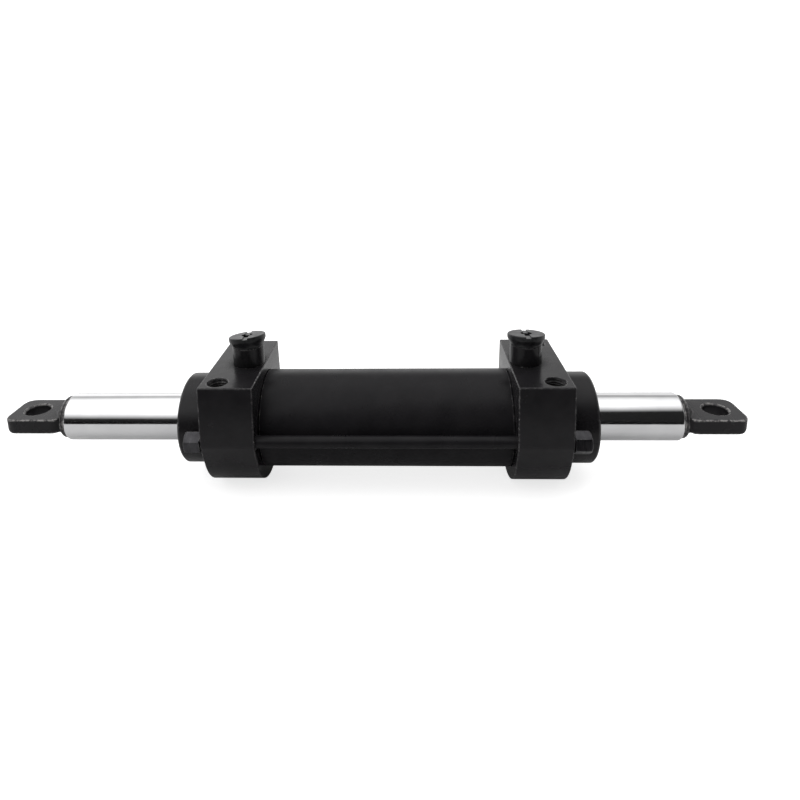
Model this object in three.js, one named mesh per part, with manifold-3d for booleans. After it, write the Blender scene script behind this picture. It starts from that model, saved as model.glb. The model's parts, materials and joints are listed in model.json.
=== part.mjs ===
// Double-rod hydraulic steering cylinder: a barrel clamped between two cast heads by two tie
// rods, with one through rod that carries the piston and ends in a flat eye on each side.
// Millimetres, +X along the rod to the right, +Z up out of the mounting faces, -Y to the front.
// The origin is midway between the heads, in the plane of their flat mounting faces.
import * as THREE from 'three';
import { mergeVertices } from 'three/addons/utils/BufferGeometryUtils.js';
import Module from 'manifold-3d';

const wasm = await Module();
wasm.setup();

// ---- driving dimensions ----
const GAP = 0.3;
const RUNNING_GAP = 0.5;
const ROUND = 24;
const SMALL_ROUND = 12;

const BARREL_RADIUS = 41;
const BORE_RADIUS = 35;
const BARREL_SPIGOT_RADIUS = 38.5;
const BARREL_SPIGOT_LENGTH = 8;

const HEAD_INNER_X = 104;
const HEAD_OUTER_X = 148;
const HEAD_HALF_WIDTH = 51;
const HEAD_TOP = 51;
const CHAMBER_RADIUS = 33;
const CHAMBER_END_X = 124;
const GLAND_SPIGOT_RADIUS = 30;

const GLAND_COLLAR_RADIUS = 38;
const GLAND_FACE_X = 173.5;
const GLAND_INNER_X = 126;
const GLAND_CLEAR_RADIUS = 20.8;
const SEAL_RADIUS = 25.3;
const GUIDE_RADIUS = 22.9;

const MOUNT_BOLT_X = 134.5;
const MOUNT_BOLT_Y = 39.5;
const MOUNT_BOLT_RADIUS = 8;
const MOUNT_BOLT_DEPTH = 32;
const MOUNT_BOLT_CHAMFER = 1.2;

const PORT_X = 118.3;
const PORT_BOSS_RADIUS = 13.3;
const PORT_BOSS_HEIGHT = 17;
const PORT_BOSS_CHAMFER = 0.6;
const PORT_THREAD_RADIUS = 10;
const PORT_THREAD_DEPTH = 15;
const PORT_PASSAGE_RADIUS = 4;

const PLUG_RADIUS = 15.6;
const PLUG_HEIGHT = 8;
const PLUG_SKIRT_RADIUS = 13.2;
const PLUG_SKIRT_DEPTH = 4;
const PLUG_FLARE_END = 4.2;
const PLUG_STEM_RADIUS = 8;
const PLUG_STEM_LENGTH = 7;
const PLUG_SLOT_WIDTH = 4;
const PLUG_SLOT_DEPTH = 1.2;
const PLUG_HOLE_RADIUS = 4.7;

const TIE_ROD_Y = 47.8;
const TIE_ROD_Z = 3.2;
const TIE_ROD_RADIUS = 5;
const TIE_ROD_RECESS = 1.2;
const TIE_HOLE_RADIUS = 5.5;
const TIE_LUG_RADIUS = 7.4;
const NUT_LENGTH = 13.4;
const NUT_DOME_LENGTH = 2.8;
const NUT_END_RADIUS = 6.4;
const NUT_ACROSS_FLATS = 16;

const ROD_RADIUS = 20;
const ROD_HALF_LENGTH = 264;
const ROD_OFFSET = -16.3;
const EYE_NECK_RADIUS = 18.2;
const EYE_NECK_LENGTH = 4;
const EYE_WIDTH = 39;
const EYE_THICKNESS = 13.2;
const EYE_TIP_X = 317;
const EYE_HOLE_X = 296.3;
const EYE_HOLE_RADIUS = 10;
const EYE_HOLE_CHAMFER = 1.4;
const EYE_CORNER_RADIUS = 8.5;

const PISTON_HALF_LENGTH = 18;
const PISTON_RADIUS = 34.4;
const PISTON_SEAL_FLOOR = 30;
const PISTON_SEAL_HALF_WIDTH = 4;
const WEAR_RING_FLOOR = 32.2;
const WEAR_RING_NEAR = 8;
const WEAR_RING_FAR = 14;
const CIRCLIP_FLOOR = 18.4;
const CIRCLIP_RADIUS = 23.5;
const CIRCLIP_WIDTH = 2.4;

// ---- materials ----
const finish = (color, roughness, metalness) => () => (
  new THREE.MeshStandardMaterial({ color, roughness, metalness })
);
const blackPaint = finish(0x151517, 0.38, 0.2);
const hardChrome = finish(0xd8d9db, 0.12, 1.0);
const machinedSteel = finish(0x8d8f92, 0.35, 0.9);
const darkFastener = finish(0x55565a, 0.4, 0.8);
const blackRubber = finish(0x0e0e0f, 0.7, 0.0);
const bronzeFilledPtfe = finish(0x6d4a2c, 0.6, 0.1);
const blueUrethane = finish(0x243a66, 0.45, 0.0);
const blackPlastic = finish(0x1c1c1e, 0.55, 0.0);

// ---- solids ----
// A lathe turns about Y and an extrusion runs along Z: these two bases lay them along X.
const LATHE_TO_X = new THREE.Matrix4().makeBasis(
  new THREE.Vector3(0, 1, 0), new THREE.Vector3(1, 0, 0), new THREE.Vector3(0, 0, -1),
);
const EXTRUDE_TO_X = new THREE.Matrix4().makeBasis(
  new THREE.Vector3(0, 1, 0), new THREE.Vector3(0, 0, 1), new THREE.Vector3(1, 0, 0),
);
const LATHE_TO_Z = new THREE.Matrix4().makeRotationX(Math.PI / 2);

function solidOf(geometry) {
  geometry.deleteAttribute('normal');
  geometry.deleteAttribute('uv');
  const merged = mergeVertices(geometry, 1e-4);
  const position = merged.getAttribute('position');
  const triangles = [];
  let volume = 0;
  const [a, b, c] = [new THREE.Vector3(), new THREE.Vector3(), new THREE.Vector3()];
  for (let i = 0; i < merged.index.count; i += 3) {
    const corner = [0, 1, 2].map((k) => merged.index.getX(i + k));
    if (new Set(corner).size === 3) {
      a.fromBufferAttribute(position, corner[0]);
      b.fromBufferAttribute(position, corner[1]);
      c.fromBufferAttribute(position, corner[2]);
      volume += a.dot(b.cross(c));
      triangles.push(corner);
    }
  }
  const outward = volume > 0 ? triangles : triangles.map(([p, q, r]) => [p, r, q]);
  return new wasm.Manifold(new wasm.Mesh({
    numProp: 3,
    vertProperties: new Float32Array(position.array),
    triVerts: new Uint32Array(outward.flat()),
  }));
}

function geometryOf(solid) {
  const mesh = solid.getMesh();
  const geometry = new THREE.BufferGeometry();
  geometry.setAttribute('position', new THREE.BufferAttribute(mesh.vertProperties, 3));
  geometry.setIndex(new THREE.BufferAttribute(mesh.triVerts, 1));
  geometry.computeVertexNormals();
  return geometry;
}

// A closed outline of [along, radius] points, turned about the rod's axis.
function turned(outline, segments = ROUND) {
  const points = [...outline, outline[0]].map(([along, radius]) => new THREE.Vector2(radius, along));
  return solidOf(new THREE.LatheGeometry(points, segments).applyMatrix4(LATHE_TO_X));
}

function turnedAboutZ(outline, segments = 16) {
  const points = [...outline, outline[0]].map(([height, radius]) => new THREE.Vector2(radius, height));
  return solidOf(new THREE.LatheGeometry(points, segments).applyMatrix4(LATHE_TO_Z));
}

function ring(from, to, inner, outer, segments = ROUND) {
  return turned([[from, inner], [from, outer], [to, outer], [to, inner]], segments);
}

function bar(from, to, radius, segments = ROUND) {
  return ring(from, to, 0, radius, segments);
}

function roundSealRing(centreX, centreRadius, sectionRadius) {
  const outline = [];
  for (let k = 0; k < 4; k += 1) {
    const angle = (k / 2) * Math.PI;
    outline.push([
      centreX + sectionRadius * Math.cos(angle),
      centreRadius + sectionRadius * Math.sin(angle),
    ]);
  }
  return turned(outline);
}

function extrudedAlongX(shape, from, to, curveSegments = 12) {
  const geometry = new THREE.ExtrudeGeometry(shape, {
    depth: to - from, bevelEnabled: false, curveSegments,
  });
  return solidOf(geometry.applyMatrix4(EXTRUDE_TO_X).translate(from, 0, 0));
}

// ---- heads ----
// The right-hand head and its fittings are modelled; the left-hand ones are their mirror image.
// The outline is a band drawn tight round the top corners, the tie-rod lugs and the belly.
function headBlank() {
  const lugDistance = Math.hypot(TIE_ROD_Y, TIE_ROD_Z);
  const lugAngle = Math.atan2(TIE_ROD_Z, TIE_ROD_Y);
  const below = lugAngle - Math.acos((HEAD_HALF_WIDTH - TIE_LUG_RADIUS) / lugDistance);
  const [toCornerY, toCornerZ] = [HEAD_HALF_WIDTH - TIE_ROD_Y, HEAD_TOP - TIE_ROD_Z];
  const cornerAngle = Math.atan2(toCornerZ, toCornerY);
  const above = cornerAngle - Math.acos(TIE_LUG_RADIUS / Math.hypot(toCornerY, toCornerZ));
  const outline = new THREE.Shape();
  outline.moveTo(HEAD_HALF_WIDTH, HEAD_TOP);
  outline.lineTo(-HEAD_HALF_WIDTH, HEAD_TOP);
  outline.absarc(-TIE_ROD_Y, TIE_ROD_Z, TIE_LUG_RADIUS, Math.PI - above, Math.PI - below, false);
  outline.absarc(0, 0, HEAD_HALF_WIDTH, Math.PI - below, 2 * Math.PI + below, false);
  outline.absarc(TIE_ROD_Y, TIE_ROD_Z, TIE_LUG_RADIUS, below, above, false);
  return extrudedAlongX(outline, HEAD_INNER_X, HEAD_OUTER_X, 14);
}

function portBoss() {
  return turnedAboutZ([
    [-2, 0], [-2, PORT_BOSS_RADIUS], [PORT_BOSS_HEIGHT - PORT_BOSS_CHAMFER, PORT_BOSS_RADIUS],
    [PORT_BOSS_HEIGHT, PORT_BOSS_RADIUS - PORT_BOSS_CHAMFER], [PORT_BOSS_HEIGHT, 0],
  ], ROUND);
}

function portBore() {
  const threadEnd = PORT_BOSS_HEIGHT - PORT_THREAD_DEPTH;
  return turnedAboutZ([
    [-22, 0], [-22, PORT_PASSAGE_RADIUS], [threadEnd - 3, PORT_PASSAGE_RADIUS],
    [threadEnd, PORT_THREAD_RADIUS], [PORT_BOSS_HEIGHT + 1, PORT_THREAD_RADIUS],
    [PORT_BOSS_HEIGHT + 1, 0],
  ]);
}

function mountBoltHole() {
  const mouth = MOUNT_BOLT_RADIUS + MOUNT_BOLT_CHAMFER;
  return turnedAboutZ([
    [-MOUNT_BOLT_DEPTH - 3, 0], [-MOUNT_BOLT_DEPTH, MOUNT_BOLT_RADIUS],
    [-MOUNT_BOLT_CHAMFER, MOUNT_BOLT_RADIUS], [0, mouth], [1, mouth], [1, 0],
  ]);
}

function rightHead() {
  const spigotBore = BARREL_SPIGOT_RADIUS + GAP;
  const spigotEnd = HEAD_INNER_X + BARREL_SPIGOT_LENGTH + GAP;
  const glandBore = GLAND_SPIGOT_RADIUS + GAP;
  const bores = turned([
    [HEAD_INNER_X - 1, 0], [HEAD_INNER_X - 1, spigotBore], [spigotEnd, spigotBore],
    [spigotEnd, CHAMBER_RADIUS], [CHAMBER_END_X, CHAMBER_RADIUS], [CHAMBER_END_X, glandBore],
    [HEAD_OUTER_X + 1, glandBore], [HEAD_OUTER_X + 1, 0],
  ]);
  let head = headBlank().add(portBoss().translate([PORT_X, 0, HEAD_TOP]));
  head = head.subtract(bores).subtract(portBore().translate([PORT_X, 0, HEAD_TOP]));
  for (const side of [-1, 1]) {
    const tieHole = bar(HEAD_INNER_X - 1, HEAD_OUTER_X + 1, TIE_HOLE_RADIUS, SMALL_ROUND);
    head = head.subtract(tieHole.translate([0, side * TIE_ROD_Y, TIE_ROD_Z]));
    head = head.subtract(mountBoltHole().translate([MOUNT_BOLT_X, side * MOUNT_BOLT_Y, HEAD_TOP]));
  }
  return head;
}

// ---- gland and the rings it carries ----
const GUIDE_RING = [130, 140];
const ROD_SEAL = [145, 153];
const WIPER = [166, GLAND_FACE_X];
const GLAND_ORING_X = 141.5;

function rightGland() {
  const collar = HEAD_OUTER_X + GAP;
  const chamfer = 2.2;
  const oringFloor = GLAND_SPIGOT_RADIUS - 2.4;
  return turned([
    [GLAND_INNER_X, GLAND_CLEAR_RADIUS],
    [GLAND_INNER_X, GLAND_SPIGOT_RADIUS],
    [GLAND_ORING_X - 1.5, GLAND_SPIGOT_RADIUS], [GLAND_ORING_X - 1.5, oringFloor],
    [GLAND_ORING_X + 1.5, oringFloor], [GLAND_ORING_X + 1.5, GLAND_SPIGOT_RADIUS],
    [collar, GLAND_SPIGOT_RADIUS], [collar, GLAND_COLLAR_RADIUS],
    [GLAND_FACE_X - chamfer, GLAND_COLLAR_RADIUS], [GLAND_FACE_X, GLAND_COLLAR_RADIUS - chamfer],
    [WIPER[1], SEAL_RADIUS], [WIPER[0], SEAL_RADIUS], [WIPER[0], GLAND_CLEAR_RADIUS],
    [ROD_SEAL[1], GLAND_CLEAR_RADIUS], [ROD_SEAL[1], SEAL_RADIUS],
    [ROD_SEAL[0], SEAL_RADIUS], [ROD_SEAL[0], GLAND_CLEAR_RADIUS],
    [GUIDE_RING[1], GLAND_CLEAR_RADIUS], [GUIDE_RING[1], GUIDE_RADIUS],
    [GUIDE_RING[0], GUIDE_RADIUS], [GUIDE_RING[0], GLAND_CLEAR_RADIUS],
  ]);
}

function rodGuideRing() {
  return ring(GUIDE_RING[0] + GAP, GUIDE_RING[1] - GAP, ROD_RADIUS + RUNNING_GAP, GUIDE_RADIUS - GAP);
}

function rodSeal() {
  const inner = ROD_RADIUS + RUNNING_GAP;
  const outer = SEAL_RADIUS - GAP;
  const [from, to] = [ROD_SEAL[0] + GAP, ROD_SEAL[1] - GAP];
  const middle = (inner + outer) / 2;
  return turned([
    [from, inner], [from, inner + 1.2], [from + 3, middle], [from, outer - 1.2],
    [from, outer], [to, outer], [to, inner],
  ]);
}

function rodWiper() {
  const inner = ROD_RADIUS + RUNNING_GAP;
  const outer = SEAL_RADIUS - GAP;
  return turned([
    [WIPER[0] + GAP, inner + 0.8], [WIPER[0] + GAP, outer], [WIPER[1] - 0.6, outer],
    [WIPER[1] - 0.6, outer - 1.4], [WIPER[1] + 1, inner + 1.2], [WIPER[1] + 1, inner],
  ]);
}

// ---- barrel, piston and rod ----
const BARREL_ORING_X = HEAD_INNER_X + 4.2;

function barrelTube() {
  const shoulder = HEAD_INNER_X - GAP;
  const end = HEAD_INNER_X + BARREL_SPIGOT_LENGTH;
  const floor = BARREL_SPIGOT_RADIUS - 1.6;
  const outer = [
    [shoulder, BARREL_RADIUS], [shoulder, BARREL_SPIGOT_RADIUS],
    [BARREL_ORING_X - 1.1, BARREL_SPIGOT_RADIUS], [BARREL_ORING_X - 1.1, floor],
    [BARREL_ORING_X + 1.1, floor], [BARREL_ORING_X + 1.1, BARREL_SPIGOT_RADIUS],
    [end, BARREL_SPIGOT_RADIUS],
  ];
  const mirrored = outer.map(([x, radius]) => [-x, radius]).reverse();
  return turned([...mirrored, ...outer, [end, BORE_RADIUS], [-end, BORE_RADIUS]]);
}

function piston() {
  const half = [
    [PISTON_SEAL_HALF_WIDTH, PISTON_SEAL_FLOOR], [PISTON_SEAL_HALF_WIDTH, PISTON_RADIUS],
    [WEAR_RING_NEAR, PISTON_RADIUS], [WEAR_RING_NEAR, WEAR_RING_FLOOR],
    [WEAR_RING_FAR, WEAR_RING_FLOOR], [WEAR_RING_FAR, PISTON_RADIUS],
    [PISTON_HALF_LENGTH - 1.5, PISTON_RADIUS], [PISTON_HALF_LENGTH, PISTON_RADIUS - 1.5],
  ];
  const mirrored = half.map(([x, radius]) => [-x, radius]).reverse();
  const bore = ROD_RADIUS + GAP;
  return turned([
    ...mirrored, ...half, [PISTON_HALF_LENGTH, bore],
    [1.6, bore], [1.6, bore + 2.2], [-1.6, bore + 2.2], [-1.6, bore], [-PISTON_HALF_LENGTH, bore],
  ]);
}

// A ring that fills one of the piston's outer grooves, loose enough for the piston to turn in it.
function pistonRing(grooveFrom, grooveTo, grooveFloor) {
  return ring(grooveFrom + GAP, grooveTo - GAP, grooveFloor + RUNNING_GAP, PISTON_RADIUS + 0.1);
}

function circlip() {
  const from = PISTON_HALF_LENGTH + GAP;
  const width = CIRCLIP_WIDTH - 2 * GAP;
  const disc = ring(from + GAP, from + GAP + width, CIRCLIP_FLOOR + GAP, CIRCLIP_RADIUS);
  const opening = new THREE.BoxGeometry(8, 9, 20).translate(from, 0, ROD_RADIUS + 4);
  return disc.subtract(solidOf(opening));
}

function pistonRod() {
  const near = PISTON_HALF_LENGTH + GAP;
  const far = near + CIRCLIP_WIDTH;
  const half = [
    [near, ROD_RADIUS], [near, CIRCLIP_FLOOR], [far, CIRCLIP_FLOOR], [far, ROD_RADIUS],
    [ROD_HALF_LENGTH - 1.5, ROD_RADIUS], [ROD_HALF_LENGTH, ROD_RADIUS - 1.2],
    [ROD_HALF_LENGTH, 0],
  ];
  const mirrored = half.map(([x, radius]) => [-x, radius]).reverse();
  return turned([...mirrored, ...half]);
}

function rightRodEye() {
  const root = ROD_HALF_LENGTH + GAP;
  const neck = bar(root, root + EYE_NECK_LENGTH, EYE_NECK_RADIUS);
  const tongue = new THREE.Shape();
  const edge = EYE_WIDTH / 2;
  const corner = EYE_CORNER_RADIUS;
  tongue.moveTo(root + 2, -edge + 3);
  tongue.lineTo(root + 6, -edge);
  tongue.lineTo(EYE_TIP_X - corner, -edge);
  tongue.absarc(EYE_TIP_X - corner, -edge + corner, corner, -Math.PI / 2, 0, false);
  tongue.absarc(EYE_TIP_X - corner, edge - corner, corner, 0, Math.PI / 2, false);
  tongue.lineTo(root + 6, edge);
  tongue.lineTo(root + 2, edge - 3);
  const plate = new THREE.ExtrudeGeometry(tongue, {
    depth: EYE_THICKNESS, bevelEnabled: false, curveSegments: 6,
  }).translate(0, 0, -EYE_THICKNESS / 2);
  const face = EYE_THICKNESS / 2;
  const mouth = EYE_HOLE_RADIUS + EYE_HOLE_CHAMFER;
  const pinHole = turnedAboutZ([
    [-face - 1, 0], [-face - 1, mouth], [-face, mouth], [-face + EYE_HOLE_CHAMFER, EYE_HOLE_RADIUS],
    [face - EYE_HOLE_CHAMFER, EYE_HOLE_RADIUS], [face, mouth], [face + 1, mouth], [face + 1, 0],
  ]);
  return neck.add(solidOf(plate)).subtract(pinHole.translate([EYE_HOLE_X, 0, 0]));
}

// ---- fasteners and port plugs ----
const NUT_START_X = HEAD_OUTER_X + GAP;
const TIE_ROD_HALF_LENGTH = NUT_START_X + NUT_LENGTH - TIE_ROD_RECESS;

function tieRod() {
  const end = TIE_ROD_HALF_LENGTH;
  return turned([
    [-end, 0], [-end, TIE_ROD_RADIUS - 1], [1 - end, TIE_ROD_RADIUS],
    [end - 1, TIE_ROD_RADIUS], [end, TIE_ROD_RADIUS - 1], [end, 0],
  ], SMALL_ROUND);
}

// A long hexagon nut with a domed outer end.
function hexNut(turn) {
  const cornerRadius = NUT_ACROSS_FLATS / Math.sqrt(3);
  const hexagon = new THREE.Shape();
  for (let k = 0; k < 6; k += 1) {
    const angle = turn + (k * Math.PI) / 3;
    hexagon[k ? 'lineTo' : 'moveTo'](cornerRadius * Math.cos(angle), cornerRadius * Math.sin(angle));
  }
  const end = NUT_START_X + NUT_LENGTH;
  const dome = [0, 1, 2, 3].map((k) => {
    const angle = (k * Math.PI) / 6;
    return [
      end - NUT_DOME_LENGTH * (1 - Math.sin(angle)),
      NUT_END_RADIUS + (cornerRadius - NUT_END_RADIUS) * Math.cos(angle),
    ];
  });
  const envelope = turned(
    [[NUT_START_X, 0], [NUT_START_X, cornerRadius], ...dome, [end, 0]],
    ROUND,
  );
  return extrudedAlongX(hexagon, NUT_START_X, end)
    .intersect(envelope)
    .subtract(bar(NUT_START_X - 1, end + 1, TIE_ROD_RADIUS + RUNNING_GAP, SMALL_ROUND));
}

// A slotted cap on a short stem. It leans in its bore, and its skirt meets the boss squarely.
function portPlug(tilt) {
  const rim = 0.8;
  const cap = turnedAboutZ([
    [-PLUG_SKIRT_DEPTH, 0], [-PLUG_SKIRT_DEPTH, PLUG_SKIRT_RADIUS], [0, PLUG_SKIRT_RADIUS],
    [PLUG_FLARE_END, PLUG_RADIUS], [PLUG_HEIGHT - rim, PLUG_RADIUS],
    [PLUG_HEIGHT, PLUG_RADIUS - rim], [PLUG_HEIGHT, 0],
  ], ROUND);
  const boss = new THREE.BoxGeometry(3 * PLUG_RADIUS, 3 * PLUG_RADIUS, 2 * PLUG_SKIRT_DEPTH);
  boss.translate(0, 0, GAP - PLUG_SKIRT_DEPTH);
  boss.applyMatrix4(new THREE.Matrix4().makeRotationFromEuler(tilt).invert());
  const stem = turnedAboutZ([
    [-PLUG_STEM_LENGTH, 0], [-PLUG_STEM_LENGTH, PLUG_STEM_RADIUS - 1],
    [1 - PLUG_STEM_LENGTH, PLUG_STEM_RADIUS], [PLUG_FLARE_END, PLUG_STEM_RADIUS],
    [PLUG_FLARE_END, 0],
  ]);
  const slot = new THREE.BoxGeometry(PLUG_SLOT_WIDTH, 3 * PLUG_RADIUS, 2 * PLUG_SLOT_DEPTH);
  const hole = turnedAboutZ([
    [0, 0], [0, PLUG_HOLE_RADIUS], [PLUG_HEIGHT + 1, PLUG_HOLE_RADIUS], [PLUG_HEIGHT + 1, 0],
  ], SMALL_ROUND);
  return cap
    .subtract(solidOf(boss))
    .add(stem)
    .subtract(solidOf(slot.translate(0, 0, PLUG_HEIGHT)))
    .subtract(hole);
}

// ---- assembly ----
const cylinder = new THREE.Group();
const housing = new THREE.Group();
const rodAssembly = new THREE.Group();
housing.position.z = -HEAD_TOP;
rodAssembly.position.set(ROD_OFFSET, 0, -HEAD_TOP);
cylinder.add(housing, rodAssembly);

function place(parent, name, solid, material) {
  const mesh = new THREE.Mesh(geometryOf(solid), material());
  mesh.name = name;
  parent.add(mesh);
  return mesh;
}

place(housing, 'barrel_tube', barrelTube(), blackPaint);
place(rodAssembly, 'piston_rod', pistonRod(), hardChrome);
place(rodAssembly, 'piston', piston(), machinedSteel);
place(
  rodAssembly, 'piston_seal',
  pistonRing(-PISTON_SEAL_HALF_WIDTH, PISTON_SEAL_HALF_WIDTH, PISTON_SEAL_FLOOR),
  bronzeFilledPtfe,
);
place(rodAssembly, 'piston_static_oring', roundSealRing(0, ROD_RADIUS + 1.4, 0.85), blackRubber);

const SIDES = [['left', [-1, 1, 1]], ['right', [1, 1, 1]]];
const NUT_TURNS = { left_front: 0.6, right_front: 0.29, left_back: 0.35, right_back: 0.6 };
const PLUG_TILTS = {
  left: new THREE.Euler(-0.14, -0.1, 0.13),
  right: new THREE.Euler(-0.14, 0.01, -0.05),
};
for (const [side, mirror] of SIDES) {
  const sided = (solid) => solid.scale(mirror);
  place(housing, `${side}_head`, sided(rightHead()), blackPaint);
  place(housing, `${side}_gland`, sided(rightGland()), blackPaint);
  place(housing, `${side}_rod_guide_ring`, sided(rodGuideRing()), bronzeFilledPtfe);
  place(housing, `${side}_rod_seal`, sided(rodSeal()), blueUrethane);
  place(housing, `${side}_rod_wiper`, sided(rodWiper()), blackRubber);
  const glandRing = roundSealRing(GLAND_ORING_X, GLAND_SPIGOT_RADIUS - 1.05, 1.05);
  place(housing, `${side}_gland_oring`, sided(glandRing), blackRubber);
  const barrelRing = roundSealRing(BARREL_ORING_X, BARREL_SPIGOT_RADIUS - 0.65, 0.7);
  place(housing, `${side}_barrel_oring`, sided(barrelRing), blackRubber);
  place(rodAssembly, `${side}_rod_eye`, sided(rightRodEye()), blackPaint);
  const wearRing = pistonRing(WEAR_RING_NEAR, WEAR_RING_FAR, WEAR_RING_FLOOR);
  place(rodAssembly, `${side}_piston_wear_ring`, sided(wearRing), bronzeFilledPtfe);
  place(rodAssembly, `${side}_piston_circlip`, sided(circlip()), darkFastener);

  const tilt = PLUG_TILTS[side];
  const plug = place(housing, `${side}_port_plug`, portPlug(tilt), blackPlastic);
  plug.position.set(mirror[0] * PORT_X, 0, HEAD_TOP + PORT_BOSS_HEIGHT);
  plug.rotation.copy(tilt);

  for (const [row, y] of [['front', -TIE_ROD_Y], ['back', TIE_ROD_Y]]) {
    const nutSolid = sided(hexNut(NUT_TURNS[`${side}_${row}`]));
    const nut = place(housing, `${side}_${row}_nut`, nutSolid, darkFastener);
    nut.position.set(0, y, TIE_ROD_Z);
  }
}
for (const [row, y] of [['front', -TIE_ROD_Y], ['back', TIE_ROD_Y]]) {
  place(housing, `${row}_tie_rod`, tieRod(), blackPaint).position.set(0, y, TIE_ROD_Z);
}

export default cylinder;
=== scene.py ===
import json
import math

import bmesh
import bpy
from mathutils import Matrix, Vector


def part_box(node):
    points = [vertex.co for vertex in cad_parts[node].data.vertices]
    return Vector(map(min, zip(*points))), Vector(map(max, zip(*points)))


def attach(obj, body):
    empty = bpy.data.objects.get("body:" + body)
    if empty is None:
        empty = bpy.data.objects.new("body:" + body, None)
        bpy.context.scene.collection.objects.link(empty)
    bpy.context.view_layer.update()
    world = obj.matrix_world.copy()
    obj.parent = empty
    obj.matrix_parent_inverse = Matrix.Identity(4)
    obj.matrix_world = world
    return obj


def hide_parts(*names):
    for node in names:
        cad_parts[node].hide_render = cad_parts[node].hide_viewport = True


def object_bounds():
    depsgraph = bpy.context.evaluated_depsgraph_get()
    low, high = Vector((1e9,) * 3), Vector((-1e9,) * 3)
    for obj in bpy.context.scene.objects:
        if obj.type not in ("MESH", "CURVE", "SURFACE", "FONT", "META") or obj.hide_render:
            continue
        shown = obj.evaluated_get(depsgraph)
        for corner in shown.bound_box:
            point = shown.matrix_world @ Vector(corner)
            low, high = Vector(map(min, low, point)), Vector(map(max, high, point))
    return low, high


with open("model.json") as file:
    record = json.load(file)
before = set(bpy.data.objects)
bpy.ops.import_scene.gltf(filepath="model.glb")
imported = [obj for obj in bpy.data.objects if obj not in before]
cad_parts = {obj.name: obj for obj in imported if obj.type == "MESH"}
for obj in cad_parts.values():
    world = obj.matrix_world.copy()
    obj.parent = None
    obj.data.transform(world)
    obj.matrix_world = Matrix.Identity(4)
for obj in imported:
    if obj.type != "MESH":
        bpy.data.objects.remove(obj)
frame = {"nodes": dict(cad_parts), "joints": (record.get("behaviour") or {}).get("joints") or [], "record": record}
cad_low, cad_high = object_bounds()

# A double-rod steering cylinder. Every mesh is made about the rod's axis, in metres, and then
# lifted to the axis's own height in the frame. +X runs along the rod, -Y is the front.

MM = 0.001
SIDES = {"left": -1, "right": 1}
ROWS = {"front": -1, "back": 1}
FINE = 160
COARSE = 48

# ---- driving sizes, from the frame ----
barrel_low, barrel_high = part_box("barrel_tube")
head_low, head_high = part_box("right_head")
gland_low, gland_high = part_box("right_gland")
wiper_low, wiper_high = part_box("right_rod_wiper")
rod_low, rod_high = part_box("piston_rod")
tie_low, tie_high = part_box("back_tie_rod")
AXIS_Z = (barrel_low.z + barrel_high.z) / 2
BARREL_RADIUS = (barrel_high.z - barrel_low.z) / 2
ROD_RADIUS = (rod_high.z - rod_low.z) / 2
ROD_MIDDLE = (rod_low.x + rod_high.x) / 2
HEAD_TOP = -AXIS_Z
HEAD_RADIUS = AXIS_Z - head_low.z
GLAND_RADIUS = (gland_high.z - gland_low.z) / 2
TIE_Y = (tie_low.y + tie_high.y) / 2
TIE_Z = (tie_low.z + tie_high.z) / 2 - AXIS_Z
TIE_RADIUS = (tie_high.z - tie_low.z) / 2
TIE_LUG_RADIUS = head_high.y - TIE_Y
OPENINGS = {row["name"]: row for row in frame["record"]["physics"]["openings"]}

# ---- sizes that only the looks need ----
HONED_WALL = 6 * MM
SPIGOT_STEP = 2.5 * MM
GLAND_SPIGOT = 30 * MM
EDGE = 0.9 * MM
PAINTED_GAP = 0.3 * MM


def opening_centre(name):
    low, high = OPENINGS[name]["box_m"]
    return (Vector(low) + Vector(high)) / 2


# ---- mesh tools ----
TURN_X_TO_Z = Matrix(((0, 1, 0, 0), (0, 0, 1, 0), (1, 0, 0, 0), (0, 0, 0, 1)))
TURN_SIDE_ON = Matrix(((0, 1, 0, 0), (-1, 0, 0, 0), (0, 0, 1, 0), (0, 0, 0, 1)))


def softened(corners, steps=4):
    """A closed outline whose corners are rounded. Each corner is (u, v, setback)."""
    points = []
    for k, (u, v, setback) in enumerate(corners):
        corner = Vector((u, v))
        if setback == 0:
            points.append(corner)
            continue
        before = Vector(corners[k - 1][:2]) - corner
        after = Vector(corners[(k + 1) % len(corners)][:2]) - corner
        start = corner + before.normalized() * min(setback, before.length * 0.49)
        end = corner + after.normalized() * min(setback, after.length * 0.49)
        for step in range(steps + 1):
            t = step / steps
            points.append(start.lerp(corner, t).lerp(corner.lerp(end, t), t))
    return points


def arc(centre, start, end, count):
    """Points round centre from start to end, the shorter way."""
    first = Vector(start) - Vector(centre)
    last = Vector(end) - Vector(centre)
    angle = math.atan2(first.y, first.x)
    turn = (math.atan2(last.y, last.x) - angle + math.pi) % (2 * math.pi) - math.pi
    return [
        Vector(centre) + first.length * Vector((math.cos(a), math.sin(a)))
        for a in (angle + turn * k / count for k in range(count + 1))
    ]


def skin(mesh, ring, following):
    count = max(len(ring), len(following))
    if count == 1:
        return
    for k in range(count):
        after = (k + 1) % count
        corners = [
            ring[k % len(ring)], ring[after % len(ring)],
            following[after % len(following)], following[k % len(following)],
        ]
        mesh.faces.new(list(dict.fromkeys(corners)))


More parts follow.
